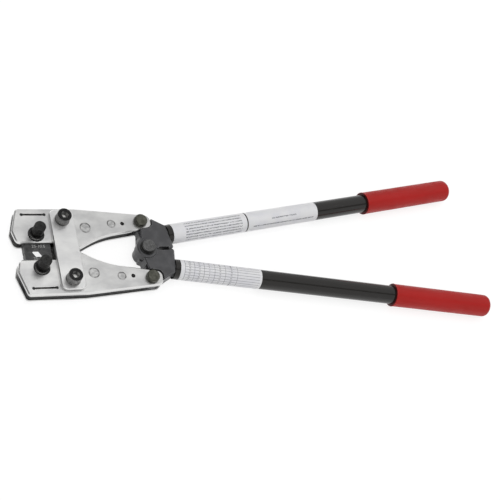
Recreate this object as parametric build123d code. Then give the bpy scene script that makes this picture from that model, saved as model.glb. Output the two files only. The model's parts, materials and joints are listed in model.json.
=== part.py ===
from build123d import *
import math
import os

# Long-arm crimping tool with turret dies, lying flat on its back.
# Tool frame: X runs from the link bolts back to the handles, Y is the spread of
# the jaws and handles, Z is the plate normal and Z = 0 is the middle of the plates.
# At the end every piece is moved so that the tool stands on Z = 0, centred in X and Y.

# ---------------------------------------------------------------- clearances
FIT = 0.05             # radial clearance of a shank or pin in its bore
GAP = 0.1              # running gap between flat faces that turn on each other
SIDE_GAP = 0.2         # free gap of a die or a tongue between its two plates
LAP_CLEAR = 0.4        # radial room around a lapped eye or a swinging arm end
EDGE_ROUND = 0.8       # broken edges of bolts, nuts and links
TINY = 0.001           # keeps the two ends of a hull unequal

# ---------------------------------------------------------------- pivots
LINK_PIN_Y = 38.0      # link bolt above and below the middle line
ARM_PIN_X = 96.9       # rear jaw bolt behind the link bolts
ARM_PIN_Y = 36.9       # rear jaw bolt above and below the middle line
CENTRE_BACK = 0.4      # centre bolt behind the rear jaw bolts, handles closed
SWING = 45.0           # how far each handle opens, degrees
TURRET_X = -32.0       # die turret axis, ahead of the link bolts
TURRET_Y = 21.1        # die turret axis above and below the parting plane

# ---------------------------------------------------------------- jaws
PLATE_T = 4.0          # one jaw plate
JAW_T = 16.7           # both jaw plates and the space between them
PLATE_BEVEL = 1.3      # bevel round the outer face of a jaw plate
JAW_MOUTH = 10.7       # inner edge of the jaw head
NOSE_REACH = 27.3      # front point of the jaw, ahead of the turret axis
NOSE_RISE = 4.5        # and above it
HEAD_FRONT = 19.0      # front corner of the outer edge, ahead of the turret axis
MOUTH_FRONT = 23.5     # front corner of the inner edge, ahead of the turret axis
SLOT_LAND = 8.3        # slot for the detent spring to the jaw's outer edge
SHOULDER_X = 17.0      # where the head tapers into the arm
ARM_END = 14.1         # arm end past the rear jaw bolt
ARM_OUT = 9.1          # outer corner of the arm end, above that bolt
ARM_IN = 7.9           # inner corner of the arm end, below it
HEEL_X = 9.0           # heel of the jaw between the two link bolts
HEEL_Y = 2.4           # heel clear of the middle line
HEEL_SLOPE = 6.0       # length of the slope from the mouth to the heel
BEND_X = 44.0          # bend in the inner edge of the arm
BEND_Y = 17.2
BEND_R = 110.0
MAIN_RIVET_X = 27.2    # flush rivets
MAIN_RIVET_Y = 29.1
MAIN_RIVET_R = 6.0
ARM_RIVET_AHEAD = 37.0   # ahead of the rear jaw bolt
ARM_RIVET_IN = 2.9       # inward of it
ARM_RIVET_R = 4.7
RIVET_EDGE = 0.35      # broken edge that shows a flush rivet's outline
HANG_AHEAD = 23.2      # small through hole in the arm, ahead of the rear jaw bolt
HANG_IN = 2.7
HANG_R = 2.5
SPACER_INSET = 0.8     # spacer edge behind the plate edge
SPACER_CLEAR = 5.4     # spacer end to the lever's tongue
SLOT_HALF = 13.2       # slot's round ends, ahead of and behind the turret axis
SLOT_RISE = 4.0        # slot above the turret's far flat
SLOT_W = 2.4
SLOT_END_R = 1.9

# ---------------------------------------------------------------- dies
FLAT_HALF = 15.3       # half width of the die block
NEST_SIZES = (10.6, 14.6)   # hexagon across flats: the nest in use, and the one on the far side
DIE_CORNER = 0.8       # broken corners of the die block
NEST_LEAD = 0.5        # chamfer on the nest mouth
WINDOW_R = 9.6         # round window in the jaw plates, over the turret axis
DETENT_T = 0.8         # thickness of the detent leaf spring
DETENT_LAND = 7.0      # half length of its flat rest on the turret

# ---------------------------------------------------------------- die lock buttons
STEM_R = 4.0           # stem through the turret
BUTTON_R = 6.6         # knurled button
BUTTON_TOP = 19.0      # button top above the jaw face
DIMPLE_R = 1.3         # centre dimple in its top
DIMPLE_DEPTH = 0.8
RING_HEIGHTS = (1.6, 3.4)   # turned grooves above the flange
RING_W = 0.8
RING_DEPTH = 0.6
FLANGE_STEP = 1.2      # flange on which the spring presses, past the button
FLANGE_T = 1.4
BUTTON_TRAVEL = 3.0    # how far the button is pressed in
BUTTON_FLUTES = 26
BUTTON_GROOVE = 0.45
COIL_IN = 1.3          # coil's mean radius inside the flange's
COIL_WIRE = 1.0
COIL_TURNS = 2.5
CLIP_R = 6.2           # retaining clip behind the jaw
CLIP_T = 0.9

# ---------------------------------------------------------------- link plates and bolts
LINK_T = 3.8
LINK_HALF_W = 14.3
LINK_END = 12.6        # link plate past its bolts
LINK_CORNER = 7.0
LINK_PIN_R = 6.0
LINK_HEAD_R = 8.1      # tall knurled head
LINK_HEAD_H = 11.6
LINK_HEAD_FLUTES = 24
LINK_HEAD_GROOVE = 0.5
SOCKET_AF = 8.0        # hexagon socket in the link bolts
SOCKET_DEPTH = 6.5
LINK_NUT_R = 9.0       # low round nut on the back
LINK_NUT_H = 2.9
ARM_PIN_R = 4.0
ARM_HEAD_R = 7.6
ARM_HEAD_H = 5.6
CENTRE_PIN_R = 5.0
CENTRE_HEAD_R = 8.0
CENTRE_HEAD_H = 4.9
WASHER_R = 9.3
WASHER_T = 1.3
CENTRE_NUT_R = 8.4
CENTRE_NUT_H = 2.8

# ---------------------------------------------------------------- lever castings
TOP_EYE_R = 12.5       # upper lever's centre eye, lapped over the lower lever's
LOW_EYE_R = 11.2       # lower lever's centre eye
EYE_HALF_T = 12.0      # height of an eye above or below the middle
TONGUE_R = 9.8         # tongue end round the rear jaw bolt
ROOT_R = 6.5           # where the tongue runs into the web
ROOT_BACK = 4.0        # behind the centre bolt
ROOT_OUT = 19.0        # above the middle line
NECK_SPARE = 1.4       # gap left between the two tongues, fully open
WEB_HALF_T = 9.9       # half thickness of the casting's web
WEB_OUT = 6.0          # outer edge of the web beside the arm end, above the rear jaw bolt
WEB_BACK = 35.2        # rear edge of the web behind the centre bolt, at the middle line
WEB_REAR_OUT = 31.0    # rear outer corner of the web above the middle line
PAD_LENGTH = 6.5       # stop pad ahead of that edge
NOTCH_W = 13.0         # notch between the castings, ahead of the stop pads
NOTCH_Y = 2.4
PAD_GAP = 0.15         # stop pad to the middle line when closed
CAST_ROUND = 1.2

# ---------------------------------------------------------------- handles
HANDLE_ANGLE = 8.64    # handle axis to the middle line, degrees
HANDLE_OFFSET = 17.9   # centre bolt to the handle axis
TUBE_R = 12.0
TUBE_WALL = 2.5
SPIGOT_LENGTH = 28.0   # casting's spigot inside the tube
GRIP_START = 340.0     # distances along the handle axis, from abreast the centre bolt
GRIP_END = 492.0
GRIP_WALL = 2.7
GRIP_FLOOR = 5.0
GRIP_ROUND = 6.5
LIP_RISE = 0.4
LIP_W = 2.2
LABEL_T = 0.2
LABEL_START = 41.1     # bare tube ends and the first label begins
FRONT_LABEL_L = 105.2
BARE_GAP = 1.8         # bare tube between the upper handle's two labels
REAR_LABEL_L = 108.1
LOWER_LABEL_L = 106.1

# ---------------------------------------------------------------- worked out
JAW_FACE = JAW_T / 2
SPACE_T = JAW_T - 2 * PLATE_T
DIE_T = SPACE_T - 2 * SIDE_GAP
LINK_LOW = JAW_FACE + GAP
LINK_FACE = LINK_LOW + LINK_T
LINK_END_Y = LINK_PIN_Y + LINK_END
CENTRE_X = ARM_PIN_X + CENTRE_BACK
FLANGE_R = BUTTON_R + FLANGE_STEP
COIL_R = FLANGE_R - COIL_IN
COIL_SOLID = COIL_WIRE * (COIL_TURNS + 1)
FLANGE_LOW = DIE_T / 2 + 2 * GAP + COIL_SOLID + BUTTON_TRAVEL
TURRET_IN = TURRET_Y - GAP / 2
TURRET_SWEEP = math.hypot(TURRET_IN, FLAT_HALF)
DETENT_LOW = TURRET_Y + TURRET_IN + GAP
SLOT_Y = 2 * TURRET_Y + SLOT_RISE
SLOT_X0 = TURRET_X - SLOT_HALF
SLOT_X1 = TURRET_X + SLOT_HALF
JAW_TOP = SLOT_Y + SLOT_LAND
NOSE_X = TURRET_X - NOSE_REACH
NOSE_Y = TURRET_Y + NOSE_RISE
HEAD_FRONT_X = TURRET_X - HEAD_FRONT
MOUTH_FRONT_X = TURRET_X - MOUTH_FRONT
ARM_END_X = ARM_PIN_X + ARM_END
HANG_X = ARM_PIN_X - HANG_AHEAD
HANG_Y = ARM_PIN_Y - HANG_IN
RIVET_SPOTS = (        # X, Y and radius
    (MAIN_RIVET_X, MAIN_RIVET_Y, MAIN_RIVET_R),
    (ARM_PIN_X - ARM_RIVET_AHEAD, ARM_PIN_Y - ARM_RIVET_IN, ARM_RIVET_R),
)
SPACER_END_X = ARM_PIN_X - TONGUE_R - SPACER_CLEAR
WEB_END_X = CENTRE_X + WEB_BACK
NOTCH_X = WEB_END_X - PAD_LENGTH
WEB_REAR_X = WEB_END_X - (WEB_REAR_OUT - PAD_GAP) * math.tan(math.radians(HANDLE_ANGLE))
SPIGOT_R = TUBE_R - TUBE_WALL - FIT
GRIP_R = TUBE_R + GRIP_WALL
LIP_R = GRIP_R + LIP_RISE
HANDLE_DIR = (math.cos(math.radians(HANDLE_ANGLE)), math.sin(math.radians(HANDLE_ANGLE)))
FOOT = (CENTRE_X - HANDLE_OFFSET * HANDLE_DIR[1], HANDLE_OFFSET * HANDLE_DIR[0])
TUBE_START = (WEB_END_X - FOOT[0]) * HANDLE_DIR[0] + (PAD_GAP - FOOT[1]) * HANDLE_DIR[1]
TONGUE_LEAN = math.degrees(math.atan2(CENTRE_X - ARM_PIN_X, ARM_PIN_Y))
EYE_ROOM = max(TOP_EYE_R, LOW_EYE_R) + LAP_CLEAR
TONGUE_NECK = EYE_ROOM * math.cos(math.radians(SWING + TONGUE_LEAN)) - NECK_SPARE
ARM_SWEEP_R = ARM_END + 2 * LAP_CLEAR
ARM_SLOT_HALF = JAW_FACE + 2 * GAP


def joint_path(swing):
    """Centre bolt X and jaw angle that keep the linkage closed at a handle swing."""
    turn = math.radians(swing)
    back = CENTRE_X - ARM_PIN_X
    reach_x = back * math.cos(turn) + ARM_PIN_Y * math.sin(turn)
    pin_y = ARM_PIN_Y * math.cos(turn) - back * math.sin(turn)
    length = math.hypot(ARM_PIN_X, LINK_PIN_Y - ARM_PIN_Y)
    angle = math.asin((LINK_PIN_Y - pin_y) / length)
    angle_closed = math.asin((LINK_PIN_Y - ARM_PIN_Y) / length)
    centre_x = length * math.cos(angle) + reach_x
    return centre_x, math.degrees(angle - angle_closed)


OPEN_CENTRE_X, JAW_SWING = joint_path(SWING)
CARRIAGE_TRAVEL = OPEN_CENTRE_X - CENTRE_X


def pin_drift(share):
    """Rear jaw bolt in the lever's own frame, off its closed place, part way through the swing."""
    turn = math.radians(SWING * share)
    jaw = math.radians(JAW_SWING * share)
    dx, dy = ARM_PIN_X, ARM_PIN_Y - LINK_PIN_Y
    pin_x = dx * math.cos(jaw) + dy * math.sin(jaw)
    pin_y = LINK_PIN_Y - dx * math.sin(jaw) + dy * math.cos(jaw)
    off_x = pin_x - (CENTRE_X + CARRIAGE_TRAVEL * share)
    local_x = off_x * math.cos(turn) + pin_y * math.sin(turn)
    local_y = pin_y * math.cos(turn) - off_x * math.sin(turn)
    return local_x + CENTRE_X - ARM_PIN_X, local_y - ARM_PIN_Y


# ---------------------------------------------------------------- helpers
def rounded(corners):
    """Closed face through corners of (X, Y, radius)."""
    line = FilletPolyline(*[(x, y) for x, y, _ in corners], radius=[r for *_, r in corners], close=True)
    return make_face(line)


def prism(face, low, high):
    """Face drawn on Z = 0, extruded from low to high."""
    return Pos(0, 0, low) * extrude(face, high - low, dir=(0, 0, 1))


def disc(x, y, radius, low, high):
    """Upright cylinder."""
    return Pos(x, y, low) * Cylinder(radius, high - low, align=(Align.CENTER, Align.CENTER, Align.MIN))


def block(x0, x1, y0, y1, low, high):
    """Box between two corners."""
    return Pos(x0, y0, low) * Box(x1 - x0, y1 - y0, high - low, align=(Align.MIN, Align.MIN, Align.MIN))


def hull_face(x0, y0, r0, x1, y1, r1):
    """Two circles and the straight sides that touch both."""
    length = math.hypot(x1 - x0, y1 - y0)
    lean = math.atan2(y1 - y0, x1 - x0)
    side = math.acos((r0 - r1) / length)
    ends = []
    for sign in (1, -1):
        a = lean + sign * side
        ends.append((x0 + r0 * math.cos(a), y0 + r0 * math.sin(a)))
        ends.append((x1 + r1 * math.cos(a), y1 + r1 * math.sin(a)))
    quad = make_face(Polyline(ends[0], ends[1], ends[3], ends[2], close=True))
    return quad + Pos(x0, y0) * Circle(r0) + Pos(x1, y1) * Circle(r1)


def outer_edges(solid, top=True):
    """Outside edges of the top or bottom face."""
    face = solid.faces().sort_by(Axis.Z)[-1 if top else 0]
    return face.outer_wire().edges()


def fluted(radius, low, high, flutes, groove):
    """Upright cylinder with upright grooves round its side."""
    body = disc(0, 0, radius, low, high)
    body = chamfer(body.edges().filter_by(GeomType.CIRCLE), groove)
    spots = [spot.position for spot in PolarLocations(radius, flutes)]
    cuts = [disc(spot.X, spot.Y, groove, low, high) for spot in spots]
    return body - cuts


def back_nut(radius, bore, low, high):
    """Round nut with its lower edge broken."""
    nut = disc(0, 0, radius, low, high)
    nut = chamfer(nut.edges().filter_by(GeomType.CIRCLE).sort_by(Axis.Z)[0], EDGE_ROUND)
    return nut - disc(0, 0, bore, low, high)


def mirrored(solid):
    """The lower twin of an upper piece."""
    return mirror(solid, about=Plane.XZ)


# ---------------------------------------------------------------- jaws
def jaw_outline(inset=0.0):
    """Upper jaw seen from above: head, heel and arm."""
    face = rounded([
        (NOSE_X, NOSE_Y, 5),
        (MOUTH_FRONT_X, JAW_MOUTH, 6),
        (HEEL_X - HEEL_SLOPE, JAW_MOUTH, 3.5),
        (HEEL_X, HEEL_Y, 3),
        (SHOULDER_X, HEEL_Y, 8),
        (BEND_X, BEND_Y, BEND_R),
        (ARM_END_X, ARM_PIN_Y - ARM_IN, 7),
        (ARM_END_X, ARM_PIN_Y + ARM_OUT, 8.5),
        (SHOULDER_X, JAW_TOP, 40),
        (HEAD_FRONT_X, JAW_TOP, 4),
    ])
    return offset(face, amount=-inset) if inset else face


def jaw_cuts(low, high):
    """Bores and slots that both plates of a jaw share."""
    cuts = [disc(0, LINK_PIN_Y, LINK_PIN_R + FIT, low, high)]
    cuts.append(disc(ARM_PIN_X, ARM_PIN_Y, ARM_PIN_R + FIT, low, high))
    cuts.append(disc(HANG_X, HANG_Y, HANG_R, low, high))
    cuts += [disc(x, y, r + FIT, low, high) for x, y, r in RIVET_SPOTS]
    cuts.append(block(SLOT_X0, SLOT_X1, SLOT_Y - SLOT_W / 2, SLOT_Y + SLOT_W / 2, low, high))
    cuts += [disc(x, SLOT_Y, SLOT_END_R, low, high) for x in (SLOT_X0, SLOT_X1)]
    return cuts


def front_plate():
    plate = prism(jaw_outline(), JAW_FACE - PLATE_T, JAW_FACE)
    plate = chamfer(outer_edges(plate), PLATE_BEVEL)
    plate -= jaw_cuts(0, JAW_FACE)
    return plate - disc(TURRET_X, TURRET_Y, WINDOW_R, 0, JAW_FACE)


def back_plate():
    plate = prism(jaw_outline(), -JAW_FACE, PLATE_T - JAW_FACE)
    plate = chamfer(outer_edges(plate, top=False), PLATE_BEVEL)
    plate -= jaw_cuts(-JAW_FACE, 0)
    return plate - disc(TURRET_X, TURRET_Y, STEM_R + FIT, -JAW_FACE, 0)


def jaw_spacer():
    """Filler between the plates, clear of the turret, the link bolt and the lever tongue."""
    half = SPACE_T / 2
    solid = prism(jaw_outline(SPACER_INSET), -half, half)
    solid -= disc(TURRET_X, TURRET_Y, TURRET_SWEEP + LAP_CLEAR, -half, half)
    solid -= block(NOSE_X, HEAD_FRONT_X, 0, SLOT_Y, -half, half)
    solid -= block(NOSE_X, -LINK_PIN_R, 0, TURRET_Y, -half, half)
    solid -= block(SPACER_END_X, ARM_END_X, 0, JAW_TOP, -half, half)
    cuts = [disc(0, LINK_PIN_Y, LINK_PIN_R + FIT, -half, half), disc(HANG_X, HANG_Y, HANG_R, -half, half)]
    cuts += [disc(x, y, r + FIT, -half, half) for x, y, r in RIVET_SPOTS]
    cuts += [disc(x, SLOT_Y, SLOT_END_R, -half, half) for x in (SLOT_X0, SLOT_X1)]
    cuts.append(block(SLOT_X0, SLOT_X1, TURRET_Y, SLOT_Y + SLOT_END_R, -half, half))
    solid -= cuts
    return solid.solids().sort_by(SortBy.VOLUME)[-1]


def rivet(index):
    x, y, r = RIVET_SPOTS[index]
    body = disc(x, y, r, -JAW_FACE, JAW_FACE)
    return chamfer(body.edges().filter_by(GeomType.CIRCLE), RIVET_EDGE)


def arm_bolt():
    """Rear jaw bolt: flat round head and its shank."""
    head = disc(0, 0, ARM_HEAD_R, JAW_FACE, JAW_FACE + ARM_HEAD_H)
    head = chamfer(head.edges().filter_by(GeomType.CIRCLE).sort_by(Axis.Z)[-1], EDGE_ROUND)
    shank = disc(0, 0, ARM_PIN_R, -JAW_FACE - ARM_HEAD_H, JAW_FACE)
    return Pos(ARM_PIN_X, ARM_PIN_Y, 0) * (head + shank)


def arm_nut():
    nut = back_nut(ARM_HEAD_R, ARM_PIN_R + FIT, -JAW_FACE - ARM_HEAD_H, -JAW_FACE)
    return Pos(ARM_PIN_X, ARM_PIN_Y, 0) * nut


# ---------------------------------------------------------------- dies
def turret():
    """Two-faced die block with half a hexagon nest in each face; the first is in use."""
    half = DIE_T / 2
    side = TURRET_IN
    solid = prism(Rectangle(2 * FLAT_HALF, 2 * side), -half, half)
    solid = chamfer(solid.edges().filter_by(Axis.Z), DIE_CORNER)
    for turn, size in enumerate(NEST_SIZES):
        mouth = size / math.sqrt(3)
        nest = make_face(Polyline(
            (-mouth - NEST_LEAD, -side),
            (-mouth, GAP / 2 - side + NEST_LEAD),
            (-mouth / 2, size / 2 - side),
            (mouth / 2, size / 2 - side),
            (mouth, GAP / 2 - side + NEST_LEAD),
            (mouth + NEST_LEAD, -side),
            close=True,
        ))
        solid -= Rot(0, 0, 180 * turn) * prism(nest, -half, half)
    solid -= disc(0, 0, STEM_R + FIT, -half, half)
    return Pos(TURRET_X, TURRET_Y, 0) * solid


def detent_spring():
    """Leaf spring: rolled ends in the plate slots, bowed down on to the turret's far flat."""
    half = DIE_T / 2
    pin = SLOT_END_R - 2 * FIT
    low = DETENT_LOW
    bow = [
        (SLOT_X0, SLOT_Y + DETENT_T / 2, 0),
        (TURRET_X - DETENT_LAND, low + DETENT_T, 6),
        (TURRET_X + DETENT_LAND, low + DETENT_T, 6),
        (SLOT_X1, SLOT_Y + DETENT_T / 2, 0),
    ]
    top = FilletPolyline(*[(x, y) for x, y, _ in bow], radius=[r for *_, r in bow[1:-1]])
    strip = trace(top, DETENT_T)
    solid = prism(strip, -half, half)
    for x in (SLOT_X0, SLOT_X1):
        solid += disc(x, SLOT_Y, pin, 0.5 - JAW_FACE, JAW_FACE - 0.5)
    return solid


# ---------------------------------------------------------------- die lock button
def lock_button():
    """Knurled button, its flange and the stem that carries the turret."""
    low = FLANGE_LOW + FLANGE_T
    top = JAW_FACE + BUTTON_TOP
    knob = fluted(BUTTON_R, low, top, BUTTON_FLUTES, BUTTON_GROOVE)
    knob -= disc(0, 0, DIMPLE_R, top - DIMPLE_DEPTH, top)
    for height in RING_HEIGHTS:
        ring = disc(0, 0, BUTTON_R, low + height, low + height + RING_W)
        knob -= ring - disc(0, 0, BUTTON_R - RING_DEPTH, low + height, low + height + RING_W)
    knob += disc(0, 0, FLANGE_R, FLANGE_LOW, low)
    knob += disc(0, 0, STEM_R, -JAW_FACE - CLIP_T - GAP, FLANGE_LOW)
    return Pos(TURRET_X, TURRET_Y, 0) * knob


def button_clip():
    ring = disc(0, 0, CLIP_R, -JAW_FACE - GAP - CLIP_T, -JAW_FACE - GAP)
    return Pos(TURRET_X, TURRET_Y, 0) * (ring - disc(0, 0, STEM_R, -JAW_FACE - GAP - CLIP_T, -JAW_FACE - GAP))


def button_spring():
    """Short coil spring between the turret and the button's flange."""
    low = DIE_T / 2 + GAP + COIL_WIRE / 2
    high = FLANGE_LOW - GAP - COIL_WIRE / 2
    path = Helix(pitch=(high - low) / COIL_TURNS, height=high - low, radius=COIL_R)
    section = Plane(path @ 0, z_dir=path % 0) * Circle(COIL_WIRE / 2)
    return Pos(TURRET_X, TURRET_Y, low) * sweep(section, path=path, is_frenet=True)


# ---------------------------------------------------------------- link plates and bolts
def link_plate(front=True):
    face = RectangleRounded(2 * LINK_HALF_W, 2 * LINK_END_Y, LINK_CORNER)
    low, high = (LINK_LOW, LINK_FACE) if front else (-LINK_FACE, -LINK_LOW)
    plate = prism(face, low, high)
    plate = chamfer(outer_edges(plate, top=front), EDGE_ROUND)
    return plate - [disc(0, sign * LINK_PIN_Y, LINK_PIN_R + FIT, low, high) for sign in (1, -1)]


def link_bolt():
    """Link bolt: tall knurled head with a hexagon socket, shank through both links."""
    top = LINK_FACE + LINK_HEAD_H
    head = fluted(LINK_HEAD_R, LINK_FACE, top, LINK_HEAD_FLUTES, LINK_HEAD_GROOVE)
    head -= prism(RegularPolygon(SOCKET_AF / 2, 6, major_radius=False), top - SOCKET_DEPTH, top)
    shank = disc(0, 0, LINK_PIN_R, -LINK_FACE - LINK_NUT_H, LINK_FACE)
    return Pos(0, LINK_PIN_Y, 0) * (head + shank)


def link_nut():
    nut = back_nut(LINK_NUT_R, LINK_PIN_R + FIT, -LINK_FACE - LINK_NUT_H, -LINK_FACE)
    return Pos(0, LINK_PIN_Y, 0) * nut


# ---------------------------------------------------------------- centre pivot
def centre_bolt():
    washer_top = EYE_HALF_T + GAP + WASHER_T
    head = disc(0, 0, CENTRE_HEAD_R, washer_top, washer_top + CENTRE_HEAD_H)
    head = fillet(head.edges().filter_by(GeomType.CIRCLE).sort_by(Axis.Z)[-1], EDGE_ROUND)
    shank = disc(0, 0, CENTRE_PIN_R, -EYE_HALF_T - GAP - CENTRE_NUT_H, washer_top)
    return Pos(CENTRE_X, 0, 0) * (head + shank)


def centre_washer():
    low = EYE_HALF_T + GAP
    ring = disc(0, 0, WASHER_R, low, low + WASHER_T) - disc(0, 0, CENTRE_PIN_R + FIT, low, low + WASHER_T)
    return Pos(CENTRE_X, 0, 0) * ring


def centre_nut():
    high = -EYE_HALF_T - GAP
    return Pos(CENTRE_X, 0, 0) * back_nut(CENTRE_NUT_R, CENTRE_PIN_R + FIT, high - CENTRE_NUT_H, high)


# ---------------------------------------------------------------- handles
def on_handle(solid):
    """Turned piece drawn along Z, laid along the upper handle's axis."""
    axis = Plane(origin=(*FOOT, 0), z_dir=(*HANDLE_DIR, 0), x_dir=(0, 0, 1))
    return axis * solid


def sleeve(outer, inner, start, end):
    return disc(0, 0, outer, start, end) - disc(0, 0, inner, start, end)


def pin_path(radius, low, high):
    """Room of a given radius round the rear jaw bolt, over its drift in the lever's frame."""
    drift_x, drift_y = pin_drift(0.5)
    face = hull_face(ARM_PIN_X, ARM_PIN_Y, radius, ARM_PIN_X + drift_x, ARM_PIN_Y + drift_y, radius - TINY)
    return prism(face, low, high)


def lever_casting(upper=True):
    """Cast lever: tongue to the rear jaw bolt, lapped centre eye, web slotted for the jaw's arm,
    stop pad, and a spigot on which the tube sits.

    Both levers are drawn as the upper one; the lower one's eye is on the other half,
    so that it lies under the upper one's after the piece is mirrored in Y."""
    tongue_half = DIE_T / 2
    tongue_face = hull_face(ARM_PIN_X, ARM_PIN_Y, TONGUE_R, CENTRE_X + ROOT_BACK, ROOT_OUT, ROOT_R)
    tongue = prism(tongue_face, -tongue_half, tongue_half)
    neck_face = hull_face(CENTRE_X, 0, TONGUE_NECK, ARM_PIN_X, ARM_PIN_Y, TONGUE_R)
    web = rounded([
        (CENTRE_X - TONGUE_NECK, PAD_GAP, 2),
        (WEB_END_X, PAD_GAP, 3),
        (WEB_REAR_X, WEB_REAR_OUT, 3),
        (ARM_PIN_X + TONGUE_R, ARM_PIN_Y + WEB_OUT, 3),
        (ARM_PIN_X, ARM_PIN_Y, 2),
    ])
    web = prism(web, -WEB_HALF_T, WEB_HALF_T)
    web = chamfer(outer_edges(web) + outer_edges(web, top=False), CAST_ROUND)
    web -= block(NOTCH_X - NOTCH_W, NOTCH_X, 0, NOTCH_Y, -WEB_HALF_T, WEB_HALF_T)
    body = web - pin_path(ARM_SWEEP_R, -ARM_SLOT_HALF, ARM_SLOT_HALF)
    body -= pin_path(ARM_HEAD_R + LAP_CLEAR, -WEB_HALF_T, WEB_HALF_T)
    body -= prism(jaw_outline(-LAP_CLEAR), -WEB_HALF_T, WEB_HALF_T)
    body = body.solids().sort_by(SortBy.VOLUME)[-1] + tongue
    body += on_handle(disc(0, 0, SPIGOT_R, TUBE_START - 2 * CAST_ROUND, TUBE_START + SPIGOT_LENGTH))
    body -= disc(CENTRE_X, 0, EYE_ROOM, -EYE_HALF_T, EYE_HALF_T)
    low, high = (GAP / 2, EYE_HALF_T) if upper else (-EYE_HALF_T, -GAP / 2)
    eye = disc(CENTRE_X, 0, TOP_EYE_R if upper else LOW_EYE_R, low, high)
    eye = chamfer(outer_edges(eye, top=upper), CAST_ROUND)
    neck_low, neck_high = (low, WEB_HALF_T) if upper else (-WEB_HALF_T, high)
    reach = EYE_ROOM + 2 * LAP_CLEAR
    near = disc(CENTRE_X, 0, reach, neck_low, neck_high)
    neck = prism(neck_face, neck_low, neck_high) & near
    bridge = block(CENTRE_X, CENTRE_X + reach, NOTCH_Y, LOW_EYE_R, neck_low, neck_high) & near
    body += [eye, neck, bridge]
    body -= disc(CENTRE_X, 0, CENTRE_PIN_R + FIT, -EYE_HALF_T, EYE_HALF_T)
    return body - pin_path(ARM_PIN_R + LAP_CLEAR, -tongue_half, tongue_half)


def tube():
    return on_handle(sleeve(TUBE_R, TUBE_R - TUBE_WALL, TUBE_START, GRIP_END - GRIP_FLOOR))


def grip():
    """Dipped grip with a closed, rounded end and a lip at the front."""
    body = disc(0, 0, GRIP_R, GRIP_START, GRIP_END)
    body = fillet(body.edges().filter_by(GeomType.CIRCLE).sort_by(Axis.Z)[-1], GRIP_ROUND)
    lip = disc(0, 0, LIP_R, GRIP_START, GRIP_START + LIP_W)
    lip = fillet(lip.edges().filter_by(GeomType.CIRCLE), LIP_W / 2 - 0.1)
    body += lip
    return on_handle(body - disc(0, 0, TUBE_R, GRIP_START, GRIP_END - GRIP_FLOOR))


def wrap(start, length):
    """Thin film sleeve on the tube."""
    return on_handle(sleeve(TUBE_R + LABEL_T, TUBE_R, start, start + length))


# ---------------------------------------------------------------- assembly
def all_parts():
    """Every node by name, in the tool frame."""
    parts = {
        "link_front_plate": link_plate(front=True),
        "link_back_plate": link_plate(front=False),
        "centre_bolt": centre_bolt(),
        "centre_washer": centre_washer(),
        "centre_nut": centre_nut(),
        "upper_lever_casting": lever_casting(upper=True),
        "lower_lever_casting": mirrored(lever_casting(upper=False)),
    }
    pairs = {
        "jaw_front_plate": front_plate(),
        "jaw_back_plate": back_plate(),
        "jaw_spacer": jaw_spacer(),
        "jaw_main_rivet": rivet(0),
        "jaw_arm_rivet": rivet(1),
        "jaw_arm_bolt": arm_bolt(),
        "jaw_arm_nut": arm_nut(),
        "die_turret": turret(),
        "detent_spring": detent_spring(),
        "lock_button": lock_button(),
        "button_spring": button_spring(),
        "button_clip": button_clip(),
        "link_bolt": link_bolt(),
        "link_nut": link_nut(),
        "handle_tube": tube(),
        "handle_grip": grip(),
    }
    for name, solid in pairs.items():
        parts["upper_" + name] = solid
        parts["lower_" + name] = mirrored(solid)
    parts["upper_front_label"] = wrap(LABEL_START, FRONT_LABEL_L)
    parts["upper_rear_label"] = wrap(LABEL_START + FRONT_LABEL_L + BARE_GAP, REAR_LABEL_L)
    parts["lower_label"] = mirrored(wrap(LABEL_START, LOWER_LABEL_L))
    return parts


PARTS = all_parts()
BOX = Compound(list(PARTS.values())).bounding_box()
ORIGIN_X = (BOX.min.X + BOX.max.X) / 2
MID_Z = -BOX.min.Z

if __name__ == "__main__":
    os.makedirs("parts", exist_ok=True)
    for name, part in PARTS.items():
        export_step(Pos(-ORIGIN_X, 0, MID_Z) * part, f"parts/{name}.step")
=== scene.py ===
"""Looks of a long-arm crimping tool with turning die blocks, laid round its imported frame.

Every length is in metres, and every place on the tool comes from the frame's own nodes,
joints and mounts. The tool lies on its back: the jaws point along -X, the handles spread
in Y and the plates face +Z.
"""

import json
import logging
import math
from dataclasses import dataclass, field
from enum import Enum
from typing import Callable, Iterable, Sequence

import bmesh
import bpy
from mathutils import Matrix, Vector


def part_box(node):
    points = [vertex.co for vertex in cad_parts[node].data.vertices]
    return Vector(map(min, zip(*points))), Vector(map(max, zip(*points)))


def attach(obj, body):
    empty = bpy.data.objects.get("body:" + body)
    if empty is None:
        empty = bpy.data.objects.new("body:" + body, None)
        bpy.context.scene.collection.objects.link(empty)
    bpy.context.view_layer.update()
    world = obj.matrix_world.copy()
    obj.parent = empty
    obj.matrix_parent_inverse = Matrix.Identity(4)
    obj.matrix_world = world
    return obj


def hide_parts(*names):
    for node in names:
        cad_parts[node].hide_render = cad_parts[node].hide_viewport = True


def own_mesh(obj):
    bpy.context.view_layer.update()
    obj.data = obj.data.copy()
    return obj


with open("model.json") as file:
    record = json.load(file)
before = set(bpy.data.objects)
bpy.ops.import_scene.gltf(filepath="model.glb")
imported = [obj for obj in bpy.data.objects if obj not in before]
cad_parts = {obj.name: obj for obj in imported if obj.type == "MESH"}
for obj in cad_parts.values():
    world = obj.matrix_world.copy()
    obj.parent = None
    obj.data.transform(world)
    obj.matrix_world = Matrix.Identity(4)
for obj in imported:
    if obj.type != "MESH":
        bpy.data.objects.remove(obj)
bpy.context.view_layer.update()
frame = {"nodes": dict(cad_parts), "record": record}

log = logging.getLogger("crimper")

MM = 0.001
UP = Vector((0, 0, 1))

Colour = tuple[float, float, float]
# Levels of a pattern at which a change begins and ends, or a share at each of its ends.
Step = tuple[float, float]
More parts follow.
